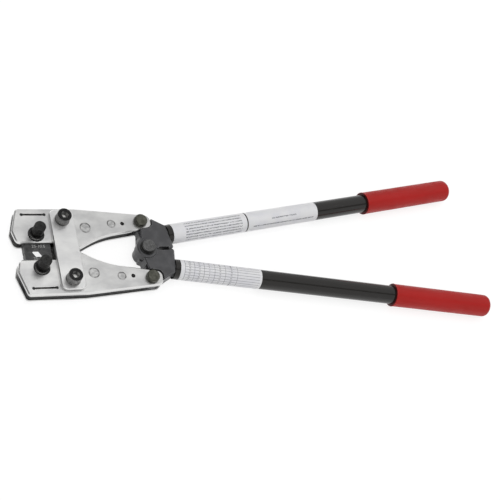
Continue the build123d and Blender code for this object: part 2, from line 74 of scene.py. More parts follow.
# How many times finer a pattern is along X, Y and Z.
Stretch = tuple[float, float, float]
Value = "bpy.types.NodeSocket | float | Sequence[float]"


class Side(Enum):
    """The two halves of the tool, with the sign of their Y."""

    UPPER = 1
    LOWER = -1

    def node(self, name: str) -> str:
        """Full name of a node on this side."""
        return f"{self.name.lower()}_{name}"


class Face(Enum):
    """The two faces of a flat piece, with the sign of their Z."""

    FRONT = 1
    BACK = -1


# ---------------------------------------------------------------- places in the frame
def centre_of(node: str) -> Vector:
    """Middle of a node's box at rest.

    Args:
        node: name of a CAD node.

    Returns:
        The point, in metres.
    """
    low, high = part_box(node)
    return (low + high) / 2


def rim_of(node: str) -> tuple[Vector, float]:
    """Axis and radius of an upright round piece.

    Args:
        node: name of a CAD node.

    Returns:
        A point on the axis and the largest radius, in metres.
    """
    low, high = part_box(node)
    return (low + high) / 2, (high.x - low.x) / 2


def mount_named(name: str) -> dict:
    """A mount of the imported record.

    Args:
        name: the mount's name.

    Returns:
        The record's entry, with pos_m and axis.
    """
    return next(mount for mount in frame["record"]["mounts"] if mount["name"] == name)


@dataclass(frozen=True)
class HandleFrame:
    """The axis of one handle: where it starts, where it points and what lies beside it."""

    origin: Vector
    along: Vector
    beside: Vector

    @classmethod
    def of(cls, side: Side) -> "HandleFrame":
        """Reads a handle's axis from the frame.

        Args:
            side: which handle.

        Returns:
            The frame, with its origin abreast of the centre bolt.
        """
        mount = mount_named(side.node("hand_grip"))
        point = Vector(mount["pos_m"])
        along = Vector(mount["axis"]).normalized()
        bolt = centre_of("centre_bolt")
        origin = point - along * (point - bolt).dot(along)
        origin.z = point.z
        return cls(origin, along, Vector((-along.y, along.x, 0)))

    def point(self, distance: float, angle: float, radius: float) -> Vector:
        """A point on a round handle.

        Args:
            distance: how far along the axis.
            angle: degrees round it, 90 on top and 180 on the -Y side.
            radius: how far from the axis.

        Returns:
            The point, in metres.
        """
        turn = math.radians(angle)
        out = self.beside * math.cos(turn) + UP * math.sin(turn)
        return self.origin + self.along * distance + out * radius


# ---------------------------------------------------------------- node trees
class Nodes:
    """A node tree, built with short calls that take sockets or plain values."""

    # Which of a colour Mix node's sockets are its two colours and its result.
    mix_first = 6
    mix_second = 7
    mix_result = 2

    def __init__(self, tree: bpy.types.NodeTree, coordinate: str) -> None:
        """Empties a tree and gives it its coordinates.

        Args:
            tree: the tree to build in.
            coordinate: the texture coordinate that patterns use.
        """
        self.tree = tree
        self.tree.nodes.clear()
        self.place = self.add("ShaderNodeTexCoord").outputs[coordinate]

    def add(self, kind: str, **settings: object) -> bpy.types.Node:
        """Adds a node.

        Args:
            kind: the node's type name.
            settings: attributes to set on it.

        Returns:
            The node.
        """
        node = self.tree.nodes.new(kind)
        for name, value in settings.items():
            setattr(node, name, value)
        return node

    def feed(self, socket: bpy.types.NodeSocket, value: Value) -> None:
        """Links a socket, or sets its value.

        Args:
            socket: the input.
            value: an output socket, a number, a vector or a colour.
        """
        if isinstance(value, bpy.types.NodeSocket):
            self.tree.links.new(value, socket)
        elif socket.type == "RGBA" and len(value) == 3:
            socket.default_value = (*value, 1.0)
        else:
            socket.default_value = value

    def maths(self, operation: str, first: Value, second: Value = 0.0, clamp: bool = False) -> Value:
        """One step of arithmetic.

        Args:
            operation: the Math node's operation.
            first: left value.
            second: right value.
            clamp: whether the result is kept between 0 and 1.

        Returns:
            The result's socket.
        """
        node = self.add("ShaderNodeMath", operation=operation, use_clamp=clamp)
        self.feed(node.inputs[0], first)
        self.feed(node.inputs[1], second)
        return node.outputs[0]

    def vector(self, operation: str, first: Value, second: Value = (0, 0, 0)) -> Value:
        """One step of vector arithmetic.

        Args:
            operation: the Vector Math node's operation.
            first: left vector.
            second: right vector.

        Returns:
            The scalar output for a dot product, distance or length, or else the vector.
        """
        node = self.add("ShaderNodeVectorMath", operation=operation)
        self.feed(node.inputs[0], first)
        self.feed(node.inputs[1], second)
        scalar = operation in ("DOT_PRODUCT", "DISTANCE", "LENGTH")
        return node.outputs["Value" if scalar else "Vector"]

    def fade(self, value: Value, low: float, high: float, start: float = 0.0, end: float = 1.0) -> Value:
        """Smooth step from one level to another.

        Args:
            value: what is measured.
            low: where the step begins.
            high: where it ends.
            start: level up to low.
            end: level from high on.

        Returns:
            The level's socket.
        """
        node = self.add("ShaderNodeMapRange", interpolation_type="SMOOTHSTEP")
        for socket, item in zip(node.inputs, (value, low, high, start, end)):
            self.feed(socket, item)
        return node.outputs[0]

    def band(self, value: Value, low: float, high: float, soft: float) -> Value:
        """1 between two limits and 0 outside them.

        Args:
            value: what is measured.
            low: lower limit.
            high: upper limit.
            soft: width of each edge.

        Returns:
            The mask's socket.
        """
        rise = self.fade(value, low - soft, low)
        fall = self.fade(value, high, high + soft, 1.0, 0.0)
        return self.maths("MULTIPLY", rise, fall)

    def noise(self, size: float, detail: float = 2.0, stretch: Stretch = (1, 1, 1),
              roughness: float = 0.5, place: "Value | None" = None) -> Value:
        """Soft random pattern in the piece's own place.

        Args:
            size: length of one blotch, in metres.
            detail: octaves.
            stretch: how many times finer the pattern is along X, Y and Z.
            roughness: strength of the finer octaves.
            place: coordinates, if not the piece's own.

        Returns:
            The pattern's socket, about 0.5 on average.
        """
        spread = self.vector("MULTIPLY", self.place if place is None else place, stretch)
        node = self.add("ShaderNodeTexNoise")
        self.feed(node.inputs["Vector"], spread)
        self.feed(node.inputs["Scale"], 1 / size)
        self.feed(node.inputs["Detail"], detail)
        self.feed(node.inputs["Roughness"], roughness)
        return node.outputs["Fac"]

    def blotches(self, size: float) -> Value:
        """Rough-edged blotches, as oil and handling leave on steel."""
        return self.noise(size, detail=4, roughness=0.6)

    def mix(self, share: Value, first: Value, second: Value) -> Value:
        """Mixes two colours.

        Args:
            share: how much of the second.
            first: colour at 0.
            second: colour at 1.

        Returns:
            The colour's socket.
        """
        node = self.add("ShaderNodeMix", data_type="RGBA")
        self.feed(node.inputs["Factor"], share)
        self.feed(node.inputs[self.mix_first], first)
        self.feed(node.inputs[self.mix_second], second)
        return node.outputs[self.mix_result]


class Graph(Nodes):
    """A material's node tree, with one Principled shader."""

    def __init__(self, name: str) -> None:
        """Starts a material.

        Args:
            name: the material's name.
        """
        self.material = bpy.data.materials.new(name)
        self.material.use_nodes = True
        super().__init__(self.material.node_tree, "Object")
        output = self.add("ShaderNodeOutputMaterial")
        self.shader = self.add("ShaderNodeBsdfPrincipled")
        self.tree.links.new(self.shader.outputs["BSDF"], output.inputs["Surface"])

    def set(self, **values: Value) -> None:
        """Feeds the Principled shader's inputs, named with underscores for spaces.

        Args:
            values: input name to socket or value.
        """
        for name, value in values.items():
            self.feed(self.shader.inputs[name.replace("_", " ")], value)

    def edges(self, radius: float, low: float = 0.02, high: float = 0.2) -> Value:
        """Mask of a piece's sharp edges, for wear and for painted highlights.

        Args:
            radius: how far from the edge it reaches.
            low: turn of the normal where it begins.
            high: turn of the normal where it is full.

        Returns:
            The mask's socket.
        """
        bevel = self.add("ShaderNodeBevel", samples=4)
        self.feed(bevel.inputs["Radius"], radius)
        normal = self.add("ShaderNodeNewGeometry").outputs["Normal"]
        alike = self.vector("DOT_PRODUCT", bevel.outputs[0], normal)
        return self.fade(self.maths("SUBTRACT", 1.0, alike), low, high)

    def tilted(self, low: float = 0.6, high: float = 0.8, soft: float = 0.05) -> Value:
        """Where a face leans, as a bevel does, by the Z of its true normal, for a painted highlight on bevels.

        Args:
            low: Z of the steepest such normal.
            high: Z of the flattest such normal.
            soft: width of each edge of that range.

        Returns:
            The mask's socket.
        """
        normal = self.add("ShaderNodeNewGeometry").outputs["True Normal"]
        return self.band(self.vector("DOT_PRODUCT", normal, UP), low, high, soft)

    def bump(self, height: Value, depth: float) -> None:
        """Feeds the shader's normal from a height.

        Args:
            height: 0 to 1.
            depth: what 1 stands for, in metres.
        """
        node = self.add("ShaderNodeBump")
        self.feed(node.inputs["Strength"], 1.0)
        self.feed(node.inputs["Distance"], depth)
        self.feed(node.inputs["Height"], height)
        self.set(Normal=node.outputs[0])

    def from_axis(self, axis: Vector) -> Value:
        """Distance from an upright axis.

        Args:
            axis: any point on it.

        Returns:
            The distance's socket, in metres.
        """
        flat = self.vector("MULTIPLY", self.place, (1, 1, 0))
        return self.vector("DISTANCE", flat, (axis.x, axis.y, 0))

    def from_handle(self, handle: HandleFrame) -> tuple[Value, Value]:
        """Place seen from a handle's origin.

        Args:
            handle: the handle.

        Returns:
            The place's socket, and the socket of its distance along the handle.
        """
        offset = self.vector("SUBTRACT", self.place, handle.origin)
        return offset, self.vector("DOT_PRODUCT", offset, handle.along)

    def drawn(self, place: Value, handle: HandleFrame, share: float) -> Value:
        """Coordinates that draw a pattern out along a handle.

        Args:
            place: the coordinates to start from.
            handle: the handle.
            share: how much of the way along the handle counts.

        Returns:
            The coordinates' socket.
        """
        node = self.add("ShaderNodeCombineXYZ")
        along = self.vector("DOT_PRODUCT", place, handle.along)
        self.feed(node.inputs[0], self.maths("MULTIPLY", along, share))
        self.feed(node.inputs[1], self.vector("DOT_PRODUCT", place, handle.beside))
        self.feed(node.inputs[2], self.vector("DOT_PRODUCT", place, UP))
        return node.outputs[0]

    def gloss(self, pattern: Value, roughness: float, spread: Step, step: Step = (0.3, 0.7)) -> Value:
        """Roughness that follows a pattern.

        Args:
            pattern: the pattern.
            roughness: the finish's usual roughness.
            spread: what the lowest and the highest levels add to it.
            step: levels of the pattern where the change begins and ends.

        Returns:
            The roughness's socket.
        """
        return self.fade(pattern, *step, roughness + spread[0], roughness + spread[1])


# ---------------------------------------------------------------- finishes
@dataclass(frozen=True)
class SatinNickel:
    """Satin nickel plate: slightly cloudy and finely brushed, with a painted highlight on its edges and bevels
    and painted shade with some grime round its fasteners.
    """

    light: Colour = (0.71, 0.71, 0.70)
    dull: Colour = (0.51, 0.51, 0.51)
    # Colour of the lighter brush streaks, and of the painted highlight on edges and bevels.
    edge: Colour = (0.93, 0.93, 0.92)
    # Painted shade with some grime, in a ring round each fastener.
    shade_and_grime: Colour = (0.06, 0.058, 0.055)
    roughness: float = 0.30
    spread: Step = (-0.02, 0.03)
    cloud: float = 30 * MM
    cloud_stretch: Stretch = (1, 1.6, 1)
    cloud_step: Step = (0.3, 0.7)
    brush: float = 0.25 * MM
    brush_stretch: Stretch = (0.03, 1, 1)
    brush_step: Step = (0.35, 0.75)
    brush_share: float = 0.12
    brush_depth: float = 0.002 * MM
    edge_reach: float = 0.5 * MM
    seam: float = 0.45 * MM
    seam_step: Step = (0.35, 0.65)
    seam_share: Step = (0.25, 0.8)
    speck: float = 2.2 * MM
    speck_step: Step = (0.3, 0.75)

    def material(self, name: str, seams: Sequence[tuple[Vector, float]] = ()) -> bpy.types.Material:
        """Makes the finish.

        Args:
            name: the material's name.
            seams: upright axes and radii of fasteners whose edge gets a ring of painted shade with some grime.

        Returns:
            The material.
        """
        graph = Graph(name)
        cloud = graph.noise(self.cloud, detail=3, stretch=self.cloud_stretch)
        tone = graph.mix(graph.fade(cloud, *self.cloud_step), self.dull, self.light)
        streak = graph.noise(self.brush, stretch=self.brush_stretch, roughness=0.6)
        fine = graph.maths("MULTIPLY", graph.fade(streak, *self.brush_step), self.brush_share)
        tone = graph.mix(fine, tone, self.edge)
        # Painted highlight: edges and bevels are lightened, standing in for the light they catch.
        bright = graph.maths("MAXIMUM", graph.edges(self.edge_reach), graph.tilted())
        tone = graph.mix(bright, tone, self.edge)
        # Painted shade with some grime: a dark ring round each fastener's edge, standing in for the shade in the
        # groove there.
        for axis, radius in seams:
            line = graph.band(graph.from_axis(axis), radius - self.seam, radius + self.seam, self.seam)
            held = graph.fade(graph.noise(radius, detail=1), *self.seam_step, *self.seam_share)
            tone = graph.mix(graph.maths("MULTIPLY", line, held), tone, self.shade_and_grime)
        speck = graph.noise(self.speck, detail=4)
        graph.set(
            Base_Color=tone,
            Metallic=1.0,
            Roughness=graph.gloss(speck, self.roughness, self.spread, self.speck_step),
        )
        graph.bump(streak, self.brush_depth)
        return graph.material


@dataclass(frozen=True)
class DarkSteel:
    """Oil-blackened or oxide-black steel with worn edges and, on turned pieces, tool rings."""

    body: Colour = (0.035, 0.035, 0.035)
    worn: Colour = (0.17, 0.17, 0.165)
    metal: float = 0.85
    roughness: float = 0.38
    spread: Step = (-0.08, 0.1)
    blotch: float = 4 * MM
    mottle_step: Step = (0.35, 0.8)
    mottle_share: float = 0.25
    rub_step: Step = (0.3, 0.6)
    edge_reach: float = 0.35 * MM
    skin: float = 0.5 * MM
    ring_pitch: float = 0.45 * MM
    ring_depth: float = 0.01 * MM

    def material(self, name: str, axis: Vector | None = None) -> bpy.types.Material:
        """Makes the finish.

        Args:
            name: the material's name.
            axis: a point on the upright axis of a turned piece.

        Returns:
            The material.
        """
        graph = Graph(name)
        blotch = graph.blotches(self.blotch)
        mottle = graph.maths("MULTIPLY", graph.fade(blotch, *self.mottle_step), self.mottle_share)
        tone = graph.mix(mottle, self.body, self.worn)
        rub = graph.maths("MULTIPLY", graph.edges(self.edge_reach), graph.fade(blotch, *self.rub_step))
        tone = graph.mix(rub, tone, self.worn)
        graph.set(
            Base_Color=tone,
            Metallic=self.metal,
            Roughness=graph.gloss(blotch, self.roughness, self.spread),
        )
        if axis is None:
            graph.bump(graph.noise(self.skin, detail=3), self.ring_depth)
        else:
            away = graph.maths("MULTIPLY", graph.from_axis(axis), 2 * math.pi / self.ring_pitch)
            graph.bump(graph.maths("SINE", away), self.ring_depth)
        return graph.material


@dataclass(frozen=True)
class SocketHead:
    """Knurled socket head: rubbed grey flutes, a black crown and a painted highlight on the socket floor."""

    flutes: Colour = (0.20, 0.20, 0.20)
    rubbed: Colour = (0.42, 0.42, 0.41)
    crown: Colour = (0.02, 0.02, 0.02)
    # Painted highlight: the socket floor is made bright, though it lies in shade.
    floor: Colour = (0.90, 0.90, 0.88)
    metal: float = 0.85
    roughness: float = 0.36
    spread: Step = (-0.08, 0.1)
    blotch: float = 3 * MM
    rub_step: Step = (0.35, 0.75)
    crown_depth: float = 1.0 * MM
    socket_radius: float = 2.8 * MM
    socket_blur: float = 0.3 * MM
    socket_depth: float = 4.5 * MM
    floor_blur: float = 0.5 * MM
    skin: float = 0.4 * MM
    skin_depth: float = 0.01 * MM

    def material(self, name: str, axis: Vector, top: float) -> bpy.types.Material:
        """Makes the finish.

        Args:
            name: the material's name.
            axis: a point on the bolt's axis.
            top: height of the head's top.

        Returns:
            The material.
        """
        graph = Graph(name)
        blotch = graph.blotches(self.blotch)
        tone = graph.mix(graph.fade(blotch, *self.rub_step), self.flutes, self.rubbed)
        up = graph.vector("DOT_PRODUCT", graph.place, UP)
        capped = graph.fade(up, top - self.crown_depth, top - self.crown_depth / 2)
        tone = graph.mix(capped, tone, self.crown)
        # Painted highlight on the socket floor.
        outer = self.socket_radius + self.socket_blur
        inside = graph.fade(graph.from_axis(axis), self.socket_radius, outer, 1.0, 0.0)
        depth = top - self.socket_depth
        sunk = graph.fade(up, depth, depth + self.floor_blur, 1.0, 0.0)
        tone = graph.mix(graph.maths("MULTIPLY", inside, sunk), tone, self.floor)
        graph.set(
            Base_Color=tone,
            Metallic=self.metal,
            Roughness=graph.gloss(blotch, self.roughness, self.spread),
        )
        graph.bump(graph.noise(self.skin, detail=3), self.skin_depth)
        return graph.material


@dataclass(frozen=True)
class BrightSteel:
    """Bare bright steel wire, with duller patches."""

    body: Colour = (0.55, 0.55, 0.54)
    dull: Colour = (0.36, 0.35, 0.34)
    roughness: float = 0.26
    spread: Step = (-0.05, 0.12)
    blotch: float = 3 * MM
    dull_step: Step = (0.4, 0.75)
    skin: float = 0.3 * MM
    skin_depth: float = 0.006 * MM

    def material(self, name: str) -> bpy.types.Material:
        """Makes the finish.

        Args:
            name: the material's name.

        Returns:
            The material.
        """
        graph = Graph(name)
        blotch = graph.blotches(self.blotch)
        graph.set(
            Base_Color=graph.mix(graph.fade(blotch, *self.dull_step), self.body, self.dull),
            Metallic=1.0,
            Roughness=graph.gloss(blotch, self.roughness, self.spread),
        )
        graph.bump(graph.noise(self.skin), self.skin_depth)
        return graph.material


@dataclass(frozen=True)
class CastEnamel:
    """Black enamel over a cast skin: fine grain, softened edges rubbed lighter, partly real wear and partly a
    painted highlight.
    """

    body: Colour = (0.066, 0.066, 0.070)
    # Colour of rubbed patches, and of the edges, where it is partly a painted highlight.
    rubbed: Colour = (0.34, 0.34, 0.35)
    metal: float = 0.25
    roughness: float = 0.36
    spread: Step = (-0.06, 0.08)
    grain: float = 0.9 * MM
    grain_depth: float = 0.05 * MM
    patch: float = 9 * MM
    patch_step: Step = (0.4, 0.75)
    patch_share: float = 0.09
    edge_reach: float = 0.8 * MM
    edge_rub_and_highlight: float = 0.8

    def material(self, name: str) -> bpy.types.Material:
        """Makes the finish.

        Args:
            name: the material's name.

        Returns:
            The material.
        """
        graph = Graph(name)
        grain = graph.noise(self.grain, detail=3, roughness=0.55)
        patch = graph.noise(self.patch, detail=3)
        faded = graph.maths("MULTIPLY", graph.fade(patch, *self.patch_step), self.patch_share)
        tone = graph.mix(faded, self.body, self.rubbed)
        # Edges lightened towards the rubbed colour: partly real wear, partly a painted highlight on the rims.
        rub = graph.maths("MULTIPLY", graph.edges(self.edge_reach), self.edge_rub_and_highlight)
        tone = graph.mix(rub, tone, self.rubbed)
        graph.set(
            Base_Color=tone,
            Metallic=self.metal,
            Roughness=graph.gloss(patch, self.roughness, self.spread),
        )
        graph.bump(grain, self.grain_depth)
        return graph.material


@dataclass(frozen=True)
class GlossEnamel:
    """Gloss black enamel on tube, with orange peel and light scuffs along the tube."""

    body: Colour = (0.016, 0.0145, 0.013)
    scuff: Colour = (0.035, 0.032, 0.03)
    specular: float = 0.42
    roughness: float = 0.17
    scuff_roughness: float = 0.22
    scuff_size: float = 1.1 * MM
    scuff_draw: float = 0.06
    scuff_step: Step = (0.56, 0.8)
    peel: float = 1.6 * MM
    peel_depth: float = 0.012 * MM

    def material(self, name: str, handle: HandleFrame) -> bpy.types.Material:
        """Makes the finish.

        Args:
            name: the material's name.
            handle: the handle that the tube runs along.

        Returns:
            The material.
        """
        graph = Graph(name)
        drawn = graph.drawn(graph.place, handle, self.scuff_draw)
        scuff = graph.noise(self.scuff_size, detail=4, place=drawn, roughness=0.6)
        scuff = graph.fade(scuff, *self.scuff_step)
        rougher = graph.maths("MULTIPLY", scuff, self.scuff_roughness)
        graph.set(
            Base_Color=graph.mix(scuff, self.body, self.scuff),
            Roughness=graph.maths("ADD", rougher, self.roughness),
            Specular_IOR_Level=self.specular,
        )
        graph.bump(graph.noise(self.peel), self.peel_depth)
        return graph.material


@dataclass(frozen=True)
class DippedVinyl:
    """Red dipped vinyl: long faint runs from the dip, a soft skin and a darker lip."""

    body: Colour = (0.50, 0.012, 0.010)
    deep: Colour = (0.46, 0.011, 0.008)
    lip: Colour = (0.06, 0.005, 0.006)
    lip_share: float = 0.9
    specular: float = 0.3
    roughness: float = 0.44
    spread: Step = (-0.06, 0.1)
    patch: float = 16 * MM
    run: float = 9 * MM
    run_draw: float = 0.12
    run_step: Step = (0.35, 0.7)
    run_depth: float = 0.22 * MM
    skin: float = 0.7 * MM
    skin_depth: float = 0.012 * MM
    inner_glow: float = 0.06
    glow_reach: Colour = (0.004, 0.0006, 0.0005)
    glow_scale: float = 0.4

    def material(self, name: str, handle: HandleFrame, mouth: float, lip_width: float) -> bpy.types.Material:
        """Makes the finish.

        Args:
            name: the material's name.
            handle: the handle that the grip sits on.
            mouth: where the grip begins, along the handle.
            lip_width: length of the lip there.

        Returns:
            The material.
        """
        graph = Graph(name)
        offset, along = graph.from_handle(handle)
        run = graph.noise(self.run, place=graph.drawn(offset, handle, self.run_draw))
        patch = graph.noise(self.patch, detail=3)
        tone = graph.mix(graph.fade(run, *self.run_step), self.body, self.deep)
        collar = graph.band(along, mouth, mouth + lip_width, lip_width)
        tone = graph.mix(graph.maths("MULTIPLY", collar, self.lip_share), tone, self.lip)
        graph.set(
            Base_Color=tone,
            Roughness=graph.gloss(patch, self.roughness, self.spread),
            Specular_IOR_Level=self.specular,
            Subsurface_Weight=self.inner_glow,
            Subsurface_Radius=self.glow_reach,
            Subsurface_Scale=self.glow_scale,
        )
        fine = graph.maths("MULTIPLY", graph.noise(self.skin), self.skin_depth / self.run_depth)
        graph.bump(graph.maths("ADD", run, fine), self.run_depth)
        return graph.material


@dataclass(frozen=True)
class Ruling:
    """A printed rectangle on a film: its span along the handle, and round it in degrees.

    It is broken into uneven dashes where the size of a dash is given.
    """

    along: tuple[float, float]
    about: tuple[float, float]
    dash: float = 0.0


@dataclass(frozen=True)
class PrintedFilm:
    """White film wrapped on a tube, with ruled lines or rows of dashes and soft wrinkles."""

    paper: Colour = (0.92, 0.92, 0.93)
    aged: Colour = (0.84, 0.84, 0.88)
    ink: Colour = (0.20, 0.205, 0.23)
    specular: float = 0.45
    roughness: float = 0.33
    spread: Step = (-0.05, 0.08)
    soft: float = 0.12 * MM
    soft_angle: float = 0.6
    dash_step: Step = (0.42, 0.50)
    wear: float = 1.3 * MM
    wear_step: Step = (0.25, 0.5)
    wear_share: Step = (0.55, 0.95)
    wrinkle: float = 14 * MM
    wrinkle_stretch: Stretch = (1.4, 1, 1)
    wrinkle_depth: float = 0.06 * MM
    age_step: Step = (0.35, 0.75)

    def printed(self, graph: Graph, handle: HandleFrame, rulings: Iterable[Ruling]) -> Value:
        """Mask of everything that is printed.

        Args:
            graph: the material's node tree.
            handle: the handle that the film is wrapped on.
            rulings: what is printed.

        Returns:
            The mask's socket.
        """
        offset, along = graph.from_handle(handle)
        beside = graph.vector("DOT_PRODUCT", offset, handle.beside)
        up = graph.vector("DOT_PRODUCT", offset, UP)
        turn = graph.maths("MULTIPLY", graph.maths("ARCTAN2", up, beside), math.degrees(1))
        turn = graph.maths("FLOORED_MODULO", turn, 360.0)
        ink: Value = 0.0
        for rule in rulings:
            across = graph.band(along, *rule.along, self.soft)
            about = graph.band(turn, *rule.about, self.soft_angle)
            patch = graph.maths("MULTIPLY", across, about)
            if rule.dash:
                broken = graph.fade(graph.noise(rule.dash), *self.dash_step)
                patch = graph.maths("MULTIPLY", patch, broken)
            ink = graph.maths("MAXIMUM", ink, patch)
        return ink

    def material(self, name: str, handle: HandleFrame, rulings: Iterable[Ruling]) -> bpy.types.Material:
        """Makes the finish.

        Args:
            name: the material's name.
            handle: the handle that the film is wrapped on.
            rulings: what is printed.

        Returns:
            The material.
        """
        graph = Graph(name)
        age = graph.fade(graph.noise(self.wrinkle, detail=3), *self.age_step)
        tone = graph.mix(age, self.paper, self.aged)
        worn = graph.fade(graph.noise(self.wear, detail=3), *self.wear_step, *self.wear_share)
        inked = graph.maths("MULTIPLY", self.printed(graph, handle, rulings), worn)
        graph.set(
            Base_Color=graph.mix(inked, tone, self.ink),
            Roughness=graph.gloss(age, self.roughness, self.spread, (0.0, 1.0)),
            Specular_IOR_Level=self.specular,
        )
        crumple = graph.noise(self.wrinkle, detail=3, stretch=self.wrinkle_stretch)
        graph.bump(crumple, self.wrinkle_depth)
        return graph.material


@dataclass(frozen=True)
class MarkPaint:
    """Paint or ink of the plain figures, worn thin in places."""

    body: Colour = (0.80, 0.80, 0.78)
    thin: Colour = (0.42, 0.42, 0.41)
    roughness: float = 0.55
    wear: float = 0.8 * MM
    wear_step: Step = (0.45, 0.75)
    skin: float = 0.25 * MM
    skin_depth: float = 0.01 * MM

    def material(self, name: str) -> bpy.types.Material:
        """Makes the finish.

        Args:
            name: the material's name.

        Returns:
            The material.
        """
        graph = Graph(name)
        wear = graph.fade(graph.noise(self.wear, detail=3), *self.wear_step)
        graph.set(Base_Color=graph.mix(wear, self.body, self.thin), Roughness=self.roughness)
        graph.bump(graph.noise(self.skin), self.skin_depth)
        return graph.material


# ---------------------------------------------------------------- dressing and figures
def dress(node: str, material: bpy.types.Material) -> None:
    """Gives a CAD node its finish.

    Args:
        node: the node's name.
        material: the finish.
    """
    piece = frame["nodes"][node]
    piece.data.materials.clear()
    piece.data.materials.append(material)
    log.info("dressed %s", node)


def dress_turned(node: str, steel: DarkSteel) -> None:
    """Gives an upright turned piece its steel, with tool rings round its axis."""
    dress(node, steel.material(node + "_oxide", centre_of(node)))


@dataclass(frozen=True)
class Figures:
    """Plain figures cut as thin mesh, for die sizes and tables."""

    height: float
    thickness: float
    cap_share: float = 0.7
    curve_steps: int = 3

    def outline(self, text: str) -> tuple[list[Vector], list[tuple[int, ...]]]:
        """Shape of a line of figures, centred on the origin in the XY plane.

        Args:
            text: digits, points and dashes.

        Returns:
            The points and the faces.
        """
        curve = bpy.data.curves.new("figures", "FONT")
        curve.body = text
        curve.align_x = "CENTER"
        curve.align_y = "CENTER"
        curve.resolution_u = self.curve_steps
        holder = bpy.data.objects.new("figures", curve)
        mesh = holder.to_mesh()
        size = self.height / self.cap_share
        points = [corner.co * size for corner in mesh.vertices]
        faces = [tuple(face.vertices) for face in mesh.polygons]
        holder.to_mesh_clear()
        bpy.data.objects.remove(holder)
        bpy.data.curves.remove(curve)
        return points, faces

    def engrave(self, target: bmesh.types.BMesh, text: str, lay: Callable[[Vector], Vector]) -> None:
        """Adds a line of figures to a mesh as a thin closed skin.

        Args:
            target: the mesh being built.
            text: the figures.
            lay: puts a point of (across, up, out) on the surface.
        """
        points, faces = self.outline(text)
        low = [target.verts.new(lay(Vector((p.x, p.y, 0)))) for p in points]
        high = [target.verts.new(lay(Vector((p.x, p.y, self.thickness)))) for p in points]
        rim: dict[tuple[int, int], None] = {}
        for face in faces:
            target.faces.new([high[i] for i in face])
            target.faces.new([low[i] for i in reversed(face)])
            for start, end in zip(face, face[1:] + face[:1]):
                if (end, start) in rim:
                    del rim[(end, start)]
                else:
                    rim[(start, end)] = None
        for start, end in rim:
            target.faces.new((low[start], low[end], high[end], high[start]))


def piece_from(build: bmesh.types.BMesh, name: str, material: bpy.types.Material, body: str) -> bpy.types.Object:
    """Turns a built mesh into a piece that rides on a body.

    Args:
        build: the mesh, which is freed.
        name: the piece's name.
        material: its finish.
        body: the CAD body that carries it.

    Returns:
        The piece.
    """
    bmesh.ops.recalc_face_normals(build, faces=build.faces)
    mesh = bpy.data.meshes.new(name)
    build.to_mesh(mesh)
    build.free()
    mesh.materials.append(material)
    piece = bpy.data.objects.new(name, mesh)
    bpy.context.scene.collection.objects.link(piece)
    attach(piece, body)
    log.info("built %s on %s", name, body)
    return piece


# ---------------------------------------------------------------- the tool
@dataclass
class Jaw:
    """One jaw: two nickel plates, the black filler between them and what holds them."""

    side: Side
    nickel: SatinNickel = SatinNickel()
    rivet: SatinNickel = SatinNickel(light=(0.62, 0.62, 0.61), dull=(0.36, 0.36, 0.36), cloud=5 * MM)
    filler: DarkSteel = DarkSteel(body=(0.012, 0.012, 0.012), worn=(0.04, 0.04, 0.04), roughness=0.5)
    oxide: DarkSteel = DarkSteel(
        body=(0.065, 0.065, 0.052), worn=(0.34, 0.34, 0.30), ring_depth=0.02 * MM)
    leaf: DarkSteel = DarkSteel(body=(0.03, 0.03, 0.03), worn=(0.10, 0.10, 0.10))
    plates: tuple[str, ...] = ("jaw_front_plate", "jaw_back_plate")
    rivets: tuple[str, ...] = ("jaw_main_rivet", "jaw_arm_rivet")

    def seams(self) -> list[tuple[Vector, float]]:
        """Axes and radii of the fasteners set in the plates."""
        return [rim_of(self.side.node(name)) for name in (*self.rivets, "jaw_arm_bolt")]

    def dress(self) -> None:
        """Finishes every node of the jaw."""
        seams = self.seams()
        for plate in self.plates:
            name = self.side.node(plate)
            dress(name, self.nickel.material(name + "_nickel", seams))
        for rivet in self.rivets:
            name = self.side.node(rivet)
            dress(name, self.rivet.material(name + "_nickel", seams))
        for turned in ("jaw_arm_bolt", "jaw_arm_nut"):
            dress_turned(self.side.node(turned), self.oxide)
        dress(self.side.node("jaw_spacer"), self.filler.material(self.side.node("filler")))
        dress(self.side.node("detent_spring"), self.leaf.material(self.side.node("leaf")))


@dataclass
class Dies:
    """One turning die block and the plain size marks beside its two nests."""

    side: Side
    sizes: tuple[str, ...] = ("25-10.6", "50-14.6")
    steel: DarkSteel = DarkSteel(body=(0.055, 0.055, 0.055), worn=(0.24, 0.24, 0.24), roughness=0.4)
    paint: MarkPaint = MarkPaint(body=(0.50, 0.50, 0.49), thin=(0.26, 0.26, 0.25))
    mark: Figures = Figures(height=3.6 * MM, thickness=0.05 * MM)
    mark_inset: float = 7.6 * MM
    mark_shift: float = 1.5 * MM

    def dress(self) -> None:
        """Finishes the die block."""
        name = self.side.node("die_turret")
        dress(name, self.steel.material(name + "_steel"))

    def build(self) -> bpy.types.Object:
        """Makes the size marks on the front and back of the block.

        Returns:
            The piece.
        """
        low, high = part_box(self.side.node("die_turret"))
        centre = (low + high) / 2
        inset = self.side.value * ((high.y - low.y) / 2 - self.mark_inset)
        build = bmesh.new()
        for face in Face:
            level = high.z if face is Face.FRONT else low.z
            for index, size in enumerate(self.sizes):
                turn = Matrix.Rotation(math.pi * index, 3, "Z")

                def lay(point: Vector) -> Vector:
                    """Puts a point of a mark beside this nest."""
                    spot = turn @ Vector((self.mark_shift + face.value * point.x, point.y - inset, 0))
                    return Vector((centre.x + spot.x, centre.y + spot.y, level + face.value * point.z))

                self.mark.engrave(build, size, lay)
        name = self.side.node("die_size_marks")
        return piece_from(build, name, self.paint.material(name), self.side.node("jaw"))


